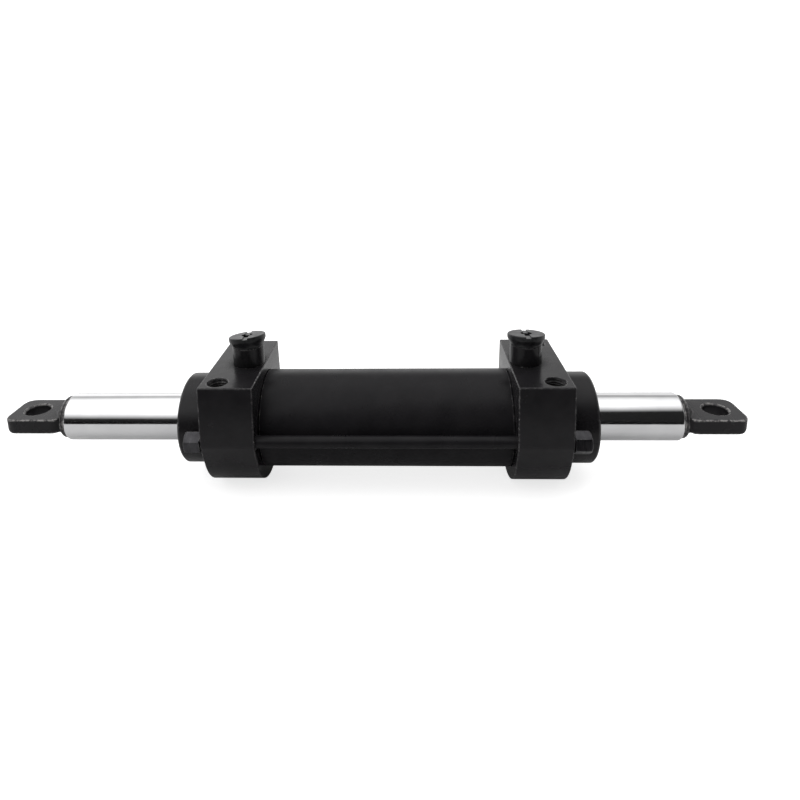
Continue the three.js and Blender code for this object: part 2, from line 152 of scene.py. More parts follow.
def turned(outline, segments=FINE, shape=None, start_angle=0.0):
    """A closed (along, radius) outline turned about X. shape(along, radius, angle) gives the
    radius there, for threads and hexagons."""
    mesh = bmesh.new()
    rings = []
    for along, radius in outline:
        if radius < 1e-7:
            rings.append([mesh.verts.new((along, 0, 0))])
            continue
        ring = []
        for k in range(segments):
            angle = start_angle + 2 * math.pi * k / segments
            r = shape(along, radius, angle) if shape else radius
            ring.append(mesh.verts.new((along, r * math.cos(angle), r * math.sin(angle))))
        rings.append(ring)
    for k, ring in enumerate(rings):
        skin(mesh, ring, rings[(k + 1) % len(rings)])
    bmesh.ops.recalc_face_normals(mesh, faces=mesh.faces)
    return mesh


def slab(outline, low, high, rounding, steps=4):
    """A closed outline in YZ drawn along X from low to high, with rounded rims."""
    count = len(outline)
    inward = []
    for k in range(count):
        along = outline[(k + 1) % count] - outline[k - 1]
        inward.append(Vector((-along.y, along.x)).normalized())
    stations = []
    for step in range(steps + 1):
        a = math.pi / 2 * step / steps
        stations.append((low + rounding * (1 - math.sin(a)), rounding * (1 - math.cos(a))))
    stations = [(x, inset) for x, inset in reversed(stations)]
    stations = stations + [(low + high - x, inset) for x, inset in reversed(stations)]
    mesh = bmesh.new()
    rings = [
        [mesh.verts.new((x, *(p + n * inset))) for p, n in zip(outline, inward)]
        for x, inset in stations
    ]
    for ring, following in zip(rings, rings[1:]):
        skin(mesh, ring, following)
    mesh.faces.new(rings[0])
    mesh.faces.new(rings[-1])
    bmesh.ops.recalc_face_normals(mesh, faces=mesh.faces)
    return mesh


def evenly(start, end, spacing):
    count = max(1, round(abs(end - start) / spacing))
    return [start + (end - start) * k / count for k in range(count + 1)]


def threaded(start, end, pitch, depth, surface):
    """A shape() for turned(): a helical V thread between start and end, on one surface."""
    def shape(along, radius, angle):
        if abs(radius - surface) > 1e-6 or not start < along < end:
            return radius
        phase = (along / pitch - angle / (2 * math.pi)) % 1
        fade = min(1, (along - start) / pitch, (end - along) / pitch)
        return radius - depth * fade * abs(2 * phase - 1)
    return shape


def as_object(name, mesh):
    data = bpy.data.meshes.new(name)
    mesh.to_mesh(data)
    mesh.free()
    made = bpy.data.objects.new(name, data)
    bpy.context.scene.collection.objects.link(made)
    return made


def settled(item, tools=()):
    """The bmesh of an object with its modifiers applied. The object and its tools are removed."""
    evaluated = item.evaluated_get(bpy.context.evaluated_depsgraph_get())
    data = bpy.data.meshes.new_from_object(evaluated)
    mesh = bmesh.new()
    mesh.from_mesh(data)
    bpy.data.meshes.remove(data)
    for done in (item, *tools):
        bpy.data.meshes.remove(done.data)
    return mesh


def combined(base, *steps):
    """base joined with or cut by other meshes. Each step is (operation, mesh)."""
    item = as_object("base", base)
    tools = []
    for operation, other in steps:
        tool = as_object("tool", other)
        modifier = item.modifiers.new(operation, "BOOLEAN")
        modifier.operation = operation
        modifier.solver = "EXACT"
        modifier.object = tool
        tools.append(tool)
    return settled(item, tools)


def moved(mesh, matrix):
    mesh.transform(matrix)
    if matrix.determinant() < 0:
        bmesh.ops.reverse_faces(mesh, faces=mesh.faces)
    return mesh


def shifted(mesh, x=0.0, y=0.0, z=0.0):
    return moved(mesh, Matrix.Translation((x, y, z)))


def mirrored(mesh, sign):
    return moved(mesh, Matrix.Diagonal((sign, 1, 1, 1)))


# ---- node tools ----
def node(tree, kind, inputs=None, **settings):
    made = tree.nodes.new(kind)
    for key, value in settings.items():
        setattr(made, key, value)
    for key, value in (inputs or {}).items():
        if isinstance(value, bpy.types.NodeSocket):
            tree.links.new(value, made.inputs[key])
        else:
            made.inputs[key].default_value = value
    return made


def new_material(name):
    """A material with a Principled shader, its tree, and its object coordinates."""
    material = bpy.data.materials.new(name)
    material.use_nodes = True
    tree = material.node_tree
    shader = tree.nodes["Principled BSDF"]
    place = node(tree, "ShaderNodeTexCoord").outputs["Object"]
    return material, tree, shader, place


def grain(tree, place, scale, detail=3.0, roughness=0.55, stretch=(1, 1, 1)):
    """Noise whose size is scale cells a metre, drawn out along an axis by stretch."""
    spread = node(
        tree, "ShaderNodeMapping", {"Vector": place, "Scale": [scale * s for s in stretch]}
    ).outputs[0]
    inputs = {"Vector": spread, "Scale": 1.0, "Detail": detail, "Roughness": roughness}
    return node(tree, "ShaderNodeTexNoise", inputs).outputs[0]


def between(tree, value, from_low, from_high, to_low, to_high):
    inputs = {
        "Value": value, "From Min": from_low, "From Max": from_high,
        "To Min": to_low, "To Max": to_high,
    }
    return node(tree, "ShaderNodeMapRange", inputs).outputs[0]


def ramp(tree, value, *stops):
    """Colour along a value. Each stop is (position, (r, g, b))."""
    made = node(tree, "ShaderNodeValToRGB", {"Fac": value})
    elements = made.color_ramp.elements
    while len(elements) < len(stops):
        elements.new(0.5)
    for element, (position, colour) in zip(elements, stops):
        element.position = position
        element.color = (*colour, 1)
    return made.outputs[0]


def mixed(tree, factor, one, other):
    made = node(tree, "ShaderNodeMix", data_type="RGBA")
    tree.links.new(factor, made.inputs[0])
    for index, colour in ((6, one), (7, other)):
        if isinstance(colour, bpy.types.NodeSocket):
            tree.links.new(colour, made.inputs[index])
        else:
            made.inputs[index].default_value = (*colour, 1)
    return made.outputs[2]


def maths(tree, operation, *values):
    made = node(tree, "ShaderNodeMath", dict(enumerate(values)), operation=operation)
    return made.outputs[0]


def bumped(tree, shader, *layers):
    """Bump from several heights, coarse first. Each layer is (height, depth in metres)."""
    normal = None
    for height, depth in layers:
        inputs = {"Height": height, "Distance": depth, "Strength": 1.0}
        if normal is not None:
            inputs["Normal"] = normal
        normal = node(tree, "ShaderNodeBump", inputs).outputs[0]
    tree.links.new(normal, shader.inputs["Normal"])


def edge_wear_and_highlight(tree, place, radius=1.5 * MM, low=0.93, high=0.99):
    """Near 1 on convex and concave edges, broken up by noise. It marks rubbed edges, and the lighter colour it
    brings is also a painted highlight.
    """
    rounded = node(tree, "ShaderNodeBevel", {"Radius": radius}, samples=4).outputs[0]
    true = node(tree, "ShaderNodeNewGeometry").outputs["Normal"]
    alike = node(
        tree, "ShaderNodeVectorMath", {0: rounded, 1: true}, operation="DOT_PRODUCT"
    ).outputs["Value"]
    edge = between(tree, alike, high, low, 0.0, 1.0)
    patches = between(tree, grain(tree, place, 260, 5), 0.42, 0.62, 0.15, 1.0)
    return maths(tree, "MULTIPLY", edge, patches)


def ridge_wear_and_highlight(tree, place):
    """Near 1 on the ridges of a finely meshed piece, broken up by noise. It marks rubbed ridges, and the lighter
    colour it brings is also a painted highlight.
    """
    pointed = node(tree, "ShaderNodeNewGeometry").outputs["Pointiness"]
    ridge = between(tree, pointed, 0.506, 0.530, 0.0, 1.0)
    patches = between(tree, grain(tree, place, 260, 5), 0.40, 0.58, 0.25, 1.0)
    return maths(tree, "MULTIPLY", ridge, patches)


# ---- materials ----
DARK_ENAMEL = (0.0104, 0.0098, 0.0110)
LIGHT_ENAMEL = (0.0156, 0.0147, 0.0162)
DUST = (0.020, 0.019, 0.019)
# Painted shade: the near black that the ambient occlusion mask mixes into recesses.
RECESS_PAINTED_SHADE = (0.003, 0.003, 0.003)
RECESS_REACH = 12 * MM
RECESS_DULLNESS = 0.4
# Colours for rubbed edges and chips. They are also a painted highlight along the edges.
RUBBED_ENAMEL_AND_HIGHLIGHT = (0.15, 0.146, 0.15)
BARE_STEEL_AND_HIGHLIGHT = (0.34, 0.33, 0.32)
CHIP_BORDER = 0.06
METAL_WEAR_AND_HIGHLIGHT = 0.5 * MM


def black_paint(name, index, low_rough, high_rough, brushed=0.0, wear_and_highlight=edge_wear_and_highlight, unchipped=0.58):
    """Semi-gloss black enamel with orange peel, dust, and thin rubbed edges and chips, whose lighter colour is
    both rubbing and a painted highlight along the edges.
    Recesses get painted shade from an ambient occlusion mask: near black, duller and never rubbed. The noise above
    unchipped is where the chips are."""
    material, tree, shader, place = new_material(name)
    mottle = ramp(tree, grain(tree, place, 55, 6), (0.3, DARK_ENAMEL), (0.7, LIGHT_ENAMEL))
    dust = between(tree, grain(tree, place, 1500, 2), 0.66, 0.80, 0.0, 0.4)
    dusted = mixed(tree, dust, mottle, DUST)
    # Ambient occlusion finds the recesses. There the colour is mixed to near black as painted shade, the roughness
    # rises and the edges stay unrubbed.
    sky = node(
        tree, "ShaderNodeAmbientOcclusion", {"Distance": RECESS_REACH}, samples=6, only_local=True
    ).outputs["AO"]
    reached = between(tree, sky, 0.5, 0.9, 0.0, 1.0)
    with_painted_shade = mixed(tree, reached, RECESS_PAINTED_SHADE, dusted)
    # Rubbed edges and chips lighten the paint. This lighter colour is also a painted highlight along the edges.
    worn_and_highlit = maths(tree, "MULTIPLY", reached, wear_and_highlight(tree, place))
    rubbed = mixed(tree, worn_and_highlit, with_painted_shade, RUBBED_ENAMEL_AND_HIGHLIGHT)
    flakes = between(tree, grain(tree, place, 420, 3), unchipped, unchipped + CHIP_BORDER, 0.0, 1.0)
    chips = maths(tree, "MULTIPLY", worn_and_highlit, flakes)
    tree.links.new(mixed(tree, chips, rubbed, BARE_STEEL_AND_HIGHLIGHT), shader.inputs["Base Color"])
    smears = grain(tree, place, 38, 5, 0.6, (1.0, 0.35, 1.0))
    rough = between(tree, smears, 0.3, 0.7, low_rough, high_rough)
    dull = between(tree, reached, 0.0, 1.0, RECESS_DULLNESS, 0.0)
    tree.links.new(maths(tree, "ADD", rough, dull), shader.inputs["Roughness"])
    shader.inputs["IOR"].default_value = index
    layers = [(grain(tree, place, 110, 3), 0.00010), (grain(tree, place, 900, 2), 0.000018)]
    if brushed:
        cuts = grain(tree, place, 900, 4, 0.6, (1.0, 0.03, 1.0))
        layers.insert(0, (cuts, brushed))
    bumped(tree, shader, *layers)
    return material


def hard_chrome():
    """Ground and polished plate: fine rings round the rod, and faint rubbed lines along it."""
    material, tree, shader, place = new_material("hard_chrome")
    shader.inputs["Metallic"].default_value = 1.0
    rings = grain(tree, place, 2600, 3, 0.6, (1.0, 0.012, 0.012))
    rubbed = grain(tree, place, 1100, 3, 0.6, (0.015, 1.0, 1.0))
    cloud = grain(tree, place, 45, 4)
    colour = ramp(tree, cloud, (0.3, (0.66, 0.66, 0.67)), (0.7, (0.74, 0.74, 0.745)))
    tree.links.new(colour, shader.inputs["Base Color"])
    both = maths(tree, "ADD", rings, maths(tree, "MULTIPLY", rubbed, 0.6))
    tree.links.new(between(tree, both, 0.5, 1.1, 0.05, 0.17), shader.inputs["Roughness"])
    bumped(tree, shader, (rubbed, 0.0000016), (rings, 0.0000012))
    return material


def turned_metal(name, dark, light, rough, marks=1400, metallic=1.0):
    """Metal with turning marks round X and darker patches of oil. Its edges are lightened to bare steel, both as
    rubbing and as a painted highlight.
    """
    material, tree, shader, place = new_material(name)
    shader.inputs["Metallic"].default_value = metallic
    lines = grain(tree, place, marks, 3, 0.6, (1.0, 0.02, 0.02))
    patches = grain(tree, place, 130, 5)
    colour = ramp(tree, patches, (0.32, dark), (0.68, light))
    worn_and_highlit = edge_wear_and_highlight(tree, place, METAL_WEAR_AND_HIGHLIGHT, 0.75, 0.97)
    bare_and_highlight = tuple(max(channel, steel) for channel, steel in zip(light, BARE_STEEL_AND_HIGHLIGHT))
    tree.links.new(mixed(tree, worn_and_highlit, colour, bare_and_highlight), shader.inputs["Base Color"])
    roughness = between(tree, lines, 0.3, 0.7, rough - 0.08, rough + 0.1)
    tree.links.new(roughness, shader.inputs["Roughness"])
    bumped(tree, shader, (patches, 0.00003), (lines, 0.000006))
    return material


def moulded(name, dark, light, rough, pebble, depth, sheen=0.0):
    """Rubber or plastic: a fine moulded grain, rubbed smoother in patches."""
    material, tree, shader, place = new_material(name)
    patches = grain(tree, place, 160, 5)
    tree.links.new(ramp(tree, patches, (0.3, dark), (0.7, light)), shader.inputs["Base Color"])
    roughness = between(tree, patches, 0.3, 0.7, rough - 0.08, rough + 0.08)
    tree.links.new(roughness, shader.inputs["Roughness"])
    shader.inputs["Specular IOR Level"].default_value = 0.35
    shader.inputs["Sheen Weight"].default_value = sheen
    bumped(tree, shader, (patches, 0.00006), (grain(tree, place, pebble, 2), depth))
    return material


PAINT = black_paint("black_paint", 1.19, 0.24, 0.38)
GLOSS_PAINT = black_paint("gloss_black_paint", 1.27, 0.20, 0.34)
# The eyes get more chips on their ridges. These are lighter both from rubbing and as a painted highlight.
EYE_PAINT = black_paint("worn_and_highlit_black_paint", 1.27, 0.20, 0.34, wear_and_highlight=ridge_wear_and_highlight, unchipped=0.44)
HEAD_PAINT = black_paint("black_paint_over_milling", 1.27, 0.15, 0.30, brushed=0.00002)
CHROME = hard_chrome()
FASTENER = turned_metal(
    "dark_fastener_steel", (0.030, 0.029, 0.032), (0.056, 0.055, 0.059), 0.30, 900, 0.85
)
STEEL = turned_metal("machined_steel", (0.36, 0.36, 0.37), (0.5, 0.5, 0.51), 0.3)
BRONZE_PTFE = moulded(
    "bronze_filled_ptfe", (0.19, 0.10, 0.055), (0.30, 0.17, 0.09), 0.5, 1800, 0.00001
)
URETHANE = moulded("blue_urethane", (0.022, 0.05, 0.14), (0.035, 0.07, 0.19), 0.38, 700, 0.00001)
RUBBER = moulded("black_rubber", (0.010, 0.010, 0.010), (0.020, 0.020, 0.020), 0.55, 1300, 0.00002)
PLASTIC = moulded("black_plastic", (0.006, 0.006, 0.007), (0.013, 0.013, 0.014), 0.36, 1500, 0.00002)


# ---- pieces ----
SHARP = math.radians(32)


def piece(name, mesh, material, body, slot, *nodes):
    """Lifts a mesh to the axis's height and makes it a piece that stands for CAD nodes."""
    shifted(mesh, z=AXIS_Z)
    made = as_object(name, mesh)
    made.data.shade_smooth()
    made.data.set_sharp_from_angle(angle=SHARP)
    flat = made.modifiers.new("flat faces", "WEIGHTED_NORMAL")
    flat.keep_sharp = True
    made.data.materials.append(material)
    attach(made, body)
    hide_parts(*nodes)
    return made


# ---- barrel ----
BARREL_RING_GROOVE = 1.6 * MM
barrel_ring_low, barrel_ring_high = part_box("right_barrel_oring")


def barrel_mesh():
    shoulder = head_low.x - PAINTED_GAP
    spigot = BARREL_RADIUS - SPIGOT_STEP
    bore = BARREL_RADIUS - HONED_WALL
    floor = spigot - BARREL_RING_GROOVE
    groove = (barrel_ring_low.x - 0.4 * MM, barrel_ring_high.x + 0.4 * MM)
    half = [
        (shoulder, BARREL_RADIUS, 0.6 * MM), (shoulder, spigot, 0),
        (groove[0], spigot, 0.15 * MM), (groove[0], floor, 0.2 * MM),
        (groove[1], floor, 0.2 * MM), (groove[1], spigot, 0.15 * MM),
        (barrel_high.x, spigot, 0.8 * MM), (barrel_high.x, bore, 0.5 * MM),
    ]
    other = [(-along, radius, setback) for along, radius, setback in reversed(half)]
    return turned(softened(half + other))


piece("painted_barrel", barrel_mesh(), PAINT, "housing", "black_paint", "barrel_tube")

# ---- heads ----
CORNER_SETBACK = 1.3 * MM
BOSS_RADIUS = 13.3 * MM
BOSS_HEIGHT = head_high.z
BOLT_RADIUS = 8 * MM
BOLT_DEPTH = 32 * MM
BOLT_CHAMFER = 0.7 * MM
BOLT_PITCH = 2 * MM
PORT_RADIUS = 10 * MM
PORT_DEPTH = 15 * MM
PORT_PASSAGE = 4 * MM
PORT_PITCH = 1.8 * MM
CHAMBER_RADIUS = 33 * MM
port = opening_centre("right_port_bore")
bolt = opening_centre("right_back_mounting_bolt_hole")


def head_outline():
    """A band drawn tight round the square top corners, the tie-rod lugs and the round belly."""
    centre = Vector((0, 0))
    lug = Vector((TIE_Y, TIE_Z))
    corner = Vector((HEAD_RADIUS, HEAD_TOP))
    below = math.atan2(lug.y, lug.x) - math.acos((HEAD_RADIUS - TIE_LUG_RADIUS) / lug.length)
    to_corner = corner - lug
    above = math.atan2(to_corner.y, to_corner.x) - math.acos(TIE_LUG_RADIUS / to_corner.length)
    low_way = Vector((math.cos(below), math.sin(below)))
    high_way = Vector((math.cos(above), math.sin(above)))
    half = arc(centre, (0, -HEAD_RADIUS), low_way * HEAD_RADIUS, 56)
    half += arc(lug, lug + low_way * TIE_LUG_RADIUS, lug + high_way * TIE_LUG_RADIUS, 16)
    half += softened([(*half[-1], 0), (*corner, CORNER_SETBACK), (0, HEAD_TOP, 0)])[1:-1]
    other = [Vector((-p.x, p.y)) for p in reversed(half[1:])]
    return half + other


def boss_mesh():
    """The port boss: a plain round post with a softened rim."""
    return moved(turned(softened([
        (-3 * MM, 0, 0), (-3 * MM, BOSS_RADIUS, 0), (BOSS_HEIGHT, BOSS_RADIUS, 0.9 * MM),
        (BOSS_HEIGHT, 0, 0),
    ]), 96), TURN_X_TO_Z)


def tapped_hole(radius, mouth, start, end, pitch, depth, tip):
    """A threaded cutter about Z, from end at the bottom to start at the mouth."""
    chamfer = mouth - radius
    wall = [(z, radius) for z in evenly(end, start - chamfer, pitch / 6)]
    outline = [(end - tip, 0)] + wall + [(start, mouth), (start + MM, mouth), (start + MM, 0)]
    cut = threaded(end, start - chamfer, pitch, depth, radius)
    return moved(turned(outline, COARSE, cut), TURN_X_TO_Z)


def head_mesh():
    gland_bore = GLAND_SPIGOT + PAINTED_GAP
    seat = barrel_high.x + PAINTED_GAP
    spigot_bore = BARREL_RADIUS - SPIGOT_STEP + PAINTED_GAP
    chamber_end = gland_low.x - 2 * MM
    bores = turned(softened([
        (head_low.x - MM, 0, 0), (head_low.x - MM, spigot_bore, 0), (seat, spigot_bore, 0),
        (seat, CHAMBER_RADIUS, 0), (chamber_end, CHAMBER_RADIUS, 0),
        (chamber_end, gland_bore, 0), (head_high.x + MM, gland_bore, 0),
        (head_high.x + MM, 0, 0),
    ]))
    steps = [("UNION", shifted(boss_mesh(), port.x, 0, HEAD_TOP)), ("DIFFERENCE", bores)]
    passage = turned([
        (-22 * MM, 0), (-22 * MM, PORT_PASSAGE), (0, PORT_PASSAGE), (0, 0)
    ], COARSE)
    floor = BOSS_HEIGHT - PORT_DEPTH
    bore = tapped_hole(
        PORT_RADIUS, PORT_RADIUS + MM, BOSS_HEIGHT, floor, PORT_PITCH, 0.7 * MM, 3 * MM
    )
    steps.append(("DIFFERENCE", shifted(moved(passage, TURN_X_TO_Z), port.x, 0, HEAD_TOP + floor)))
    steps.append(("DIFFERENCE", shifted(bore, port.x, 0, HEAD_TOP)))
    for way in (-1, 1):
        tie_hole = turned([
            (head_low.x - MM, 0), (head_low.x - MM, TIE_RADIUS + 0.5 * MM),
            (head_high.x + MM, TIE_RADIUS + 0.5 * MM), (head_high.x + MM, 0),
        ], COARSE)
        steps.append(("DIFFERENCE", shifted(tie_hole, 0, way * TIE_Y, TIE_Z)))
        hole = tapped_hole(
            BOLT_RADIUS, BOLT_RADIUS + BOLT_CHAMFER, 0, -BOLT_DEPTH, BOLT_PITCH, 0.9 * MM, 3 * MM
        )
        steps.append(("DIFFERENCE", shifted(hole, bolt.x, way * bolt.y, HEAD_TOP)))
    return combined(slab(head_outline(), head_low.x, head_high.x, EDGE), *steps)


right_head = head_mesh()
left_head = mirrored(right_head.copy(), -1)
for side, mesh in (("left", left_head), ("right", right_head)):
    piece(f"{side}_cast_head", mesh, HEAD_PAINT, "housing", "black_paint", f"{side}_head")

# ---- glands and wipers ----
GLAND_CHAMFER = 2.2 * MM
GLAND_CLEAR = 20.8 * MM
GLAND_RING_FLOOR = 27.6 * MM
SEAL_SEAT = 25.3 * MM
GUIDE_SEAT = 22.9 * MM


def gland_mesh():
    collar = head_high.x + PAINTED_GAP
    face = gland_high.x
    guide = [v.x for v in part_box("right_rod_guide_ring")]
    seal = [v.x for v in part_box("right_rod_seal")]
    ring = [v.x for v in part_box("right_gland_oring")]
    gap = PAINTED_GAP
    groove = GLAND_RING_FLOOR
    soft = 0.25 * MM
    return turned(softened([
        (gland_low.x, GLAND_CLEAR, 0.4 * MM), (gland_low.x, GLAND_SPIGOT, 0.8 * MM),
        (ring[0] - gap, GLAND_SPIGOT, soft), (ring[0] - gap, groove, soft),
        (ring[1] + gap, groove, soft), (ring[1] + gap, GLAND_SPIGOT, soft),
        (collar, GLAND_SPIGOT, 0), (collar, GLAND_RADIUS, 0.5 * MM),
        (face - GLAND_CHAMFER, GLAND_RADIUS, 0.9 * MM), (face, GLAND_RADIUS - GLAND_CHAMFER, 0.9 * MM),
        (face, SEAL_SEAT, 0.4 * MM), (wiper_low.x - gap, SEAL_SEAT, 0),
        (wiper_low.x - gap, GLAND_CLEAR, soft), (seal[1] + gap, GLAND_CLEAR, soft),
        (seal[1] + gap, SEAL_SEAT, 0), (seal[0] - gap, SEAL_SEAT, 0),
        (seal[0] - gap, GLAND_CLEAR, soft), (guide[1] + gap, GLAND_CLEAR, soft),
        (guide[1] + gap, GUIDE_SEAT, 0), (guide[0] - gap, GUIDE_SEAT, 0),
        (guide[0] - gap, GLAND_CLEAR, soft),
    ]))


def wiper_mesh():
    """A scraper lip that leans in to the rod, with a groove behind its outer rim."""
    inner = wiper_high.x
    outer = (wiper_high.z - wiper_low.z) / 2
    lip = ROD_RADIUS + 0.5 * MM
    back = wiper_low.x
    return turned(softened([
        (back, lip + 1.4 * MM, 0.2 * MM), (back, outer, 0.3 * MM),
        (inner - 1.6 * MM, outer, 0.4 * MM), (inner - 1.6 * MM, outer - 1.3 * MM, 0.4 * MM),
        (inner - 2.8 * MM, outer - 2 * MM, 0.4 * MM), (inner, lip + 1.1 * MM, 0.3 * MM),
        (inner, lip + 0.3 * MM, 0.2 * MM), (inner - 1.8 * MM, lip, 0.3 * MM),
        (inner - 3.2 * MM, lip + 1.2 * MM, 0.4 * MM),
    ]))


for side, sign in SIDES.items():
    gland = mirrored(gland_mesh(), sign)
    piece(f"{side}_turned_gland", gland, GLOSS_PAINT, "housing", "black_paint", f"{side}_gland")
    wiper = mirrored(wiper_mesh(), sign)
    piece(f"{side}_wiper_lip", wiper, RUBBER, "housing", "black_rubber", f"{side}_rod_wiper")

# ---- rod and its eyes ----
ROD_END_CHAMFER = 1.3 * MM
CIRCLIP_FLOOR = 18.4 * MM
CIRCLIP_PLAY = 0.3 * MM
NECK_RADIUS = 18.2 * MM
NECK_LENGTH = 3.6 * MM
EYE_THICKNESS = 13.2 * MM
EYE_TIP_SETBACK = 10.5 * MM
EYE_NOSE_SETBACK = 8 * MM
PIN_RADIUS = 10 * MM
PIN_CHAMFER = 1.4 * MM
eye_low, eye_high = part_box("right_rod_eye")
circlip_low, circlip_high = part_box("right_piston_circlip")
pin = opening_centre("right_eye_pin_hole")


def rod_mesh():
    end = rod_high.x - ROD_MIDDLE
    groove = [circlip_low.x - ROD_MIDDLE - CIRCLIP_PLAY, circlip_high.x - ROD_MIDDLE + CIRCLIP_PLAY]
    half = [
        (groove[0], ROD_RADIUS, 0.2 * MM), (groove[0], CIRCLIP_FLOOR, 0.2 * MM),
        (groove[1], CIRCLIP_FLOOR, 0.2 * MM), (groove[1], ROD_RADIUS, 0.2 * MM),
        (end - ROD_END_CHAMFER, ROD_RADIUS, 0.6 * MM),
        (end, ROD_RADIUS - ROD_END_CHAMFER, 0.4 * MM), (end, 0, 0),
    ]
    other = [(-along, radius, setback) for along, radius, setback in reversed(half)]
    return shifted(turned(softened(other + half), 192), ROD_MIDDLE)


def eye_mesh():
    """A flat tongue forged out of a round neck, softened all over, with a chamfered pin hole."""
    root = eye_low.x
    half_width = (eye_high.y - eye_low.y) / 2
    tip = eye_high.x
    tongue = slab(softened([
        (root + 4 * MM, -half_width + 4 * MM, 0), (root + 8 * MM, -half_width, 3 * MM),
        (tip, -half_width, EYE_TIP_SETBACK), (tip, half_width, EYE_TIP_SETBACK),
        (root + 8 * MM, half_width, 3 * MM), (root + 4 * MM, half_width - 4 * MM, 0),
    ], 10), -EYE_THICKNESS / 2, EYE_THICKNESS / 2, EDGE)
    neck = turned(softened([
        (root, 0, 0), (root, NECK_RADIUS, 0.5 * MM), (root + NECK_LENGTH, NECK_RADIUS, 1.2 * MM),
        (root + 6.6 * MM, 14 * MM, 2.4 * MM), (root + 11 * MM, 8 * MM, 0), (root + 11 * MM, 0, 0),
    ]))
    face = EYE_THICKNESS / 2
    skim = face + 0.02 * MM
    nose = slab(softened([
        (root, -skim, 0), (tip - 2.2 * MM, -skim, EYE_NOSE_SETBACK),
        (tip, face * 0.6, 3 * MM), (tip, skim, 1.5 * MM), (root, skim, 0),
    ]), -2 * half_width, 2 * half_width, EDGE)
    tongue = combined(moved(tongue, TURN_X_TO_Z), ("INTERSECT", moved(nose, TURN_SIDE_ON)))
    forging = as_object("forging", combined(tongue, ("UNION", neck)))
    skinned = forging.modifiers.new("even skin", "REMESH")
    skinned.mode = "VOXEL"
    skinned.voxel_size = 0.55 * MM
    relaxed = forging.modifiers.new("forged softness", "SMOOTH")
    relaxed.factor = 0.5
    relaxed.iterations = 5
    mouth = PIN_RADIUS + PIN_CHAMFER
    hole = turned(softened([
        (-face - MM, 0, 0), (-face - MM, mouth + MM, 0), (-face + PIN_CHAMFER, PIN_RADIUS, 0.4 * MM),
        (face - PIN_CHAMFER, PIN_RADIUS, 0.4 * MM), (face + MM, mouth + MM, 0), (face + MM, 0, 0),
    ]), 96)
    hole = shifted(moved(hole, TURN_X_TO_Z), pin.x)
    return combined(settled(forging), ("DIFFERENCE", hole))


piece("chromed_rod", rod_mesh(), CHROME, "through_rod", "hard_chrome", "piston_rod")
for side, sign in SIDES.items():
    eye = shifted(eye_mesh(), -ROD_MIDDLE)
    eye = shifted(mirrored(eye, sign), ROD_MIDDLE)
    piece(f"{side}_forged_eye", eye, EYE_PAINT, "through_rod", "black_paint", f"{side}_rod_eye")

# ---- tie rods and nuts ----
THREAD_PITCH = 1.5 * MM
THREAD_DEPTH = 0.75 * MM
NUT_FLATS = 16 * MM
NUT_BORE = 5.5 * MM
NUT_DOME_LENGTH = 2.8 * MM
NUT_END_RADIUS = 6.4 * MM
NUT_FOOT_CUT = 0.6 * MM
NUT_MOUTH_CUT = 0.4 * MM
DOME_STEPS = 20
EDGE_SOFTNESS = 44
THREADED_LENGTH = 21 * MM


def tie_rod_mesh():
    end = tie_high.x
    start = end - THREADED_LENGTH
    wall = [(x, TIE_RADIUS) for x in evenly(start, end - MM, THREAD_PITCH / 8)]
    half = wall + [(end, TIE_RADIUS - MM), (end, 0)]
    other = [(-along, radius) for along, radius in reversed(half)]
    right = threaded(start, end - 0.5 * MM, THREAD_PITCH, THREAD_DEPTH, TIE_RADIUS)
    left = threaded(0.5 * MM - end, -start, THREAD_PITCH, THREAD_DEPTH, TIE_RADIUS)

    def both(along, radius, angle):
        return right(along, radius, angle) if along > 0 else left(along, radius, angle)
    return turned(other + half, COARSE, both)


def nut_turn(name, y):
    """The angle of the nut's farthest corner about its own middle."""
    corners = (v.co - Vector((0, y, AXIS_Z + TIE_Z)) for v in frame["nodes"][name].data.vertices)
    corner = max(corners, key=lambda v: v.y**2 + v.z**2)
    return math.atan2(corner.z, corner.y)


def nut_mesh(inner, outer, turn):
    """A long hexagon nut whose flats run out into a domed outer end."""
    corner_radius = NUT_FLATS / math.sqrt(3)
    way = 1 if outer > inner else -1

    def envelope(along):
        """The turned radius that the flats are cut from."""
        depth = NUT_DOME_LENGTH - abs(outer - along)
        drop = math.sqrt(max(0.0, 1 - (max(0.0, depth) / NUT_DOME_LENGTH) ** 2))
        foot = corner_radius - NUT_FOOT_CUT + abs(along - inner)
        return min(foot, NUT_END_RADIUS + (corner_radius + 0.2 * MM - NUT_END_RADIUS) * drop)

    def shape(along, radius, angle):
        if radius < corner_radius:
            return radius
        local = (angle - turn) % (math.pi / 3) - math.pi / 6
        flat = NUT_FLATS / 2 / math.cos(local)
        return (flat**-EDGE_SOFTNESS + envelope(along) ** -EDGE_SOFTNESS) ** (-1 / EDGE_SOFTNESS)

    foot = evenly(inner, inner + way * MM, 0.2 * MM)
    quarters = [math.pi / 2 * k / DOME_STEPS for k in range(DOME_STEPS + 1)]
    dome = [outer - way * NUT_DOME_LENGTH * (1 - math.sin(angle)) for angle in quarters]
    outline = [(along, corner_radius) for along in foot + dome]
    outline += [(outer, NUT_BORE + NUT_MOUTH_CUT), (outer - way * NUT_MOUTH_CUT, NUT_BORE)]
    outline += [(inner + way * 0.5 * MM, NUT_BORE), (inner, NUT_BORE + 0.5 * MM)]
    return turned(outline, 96, shape, turn)


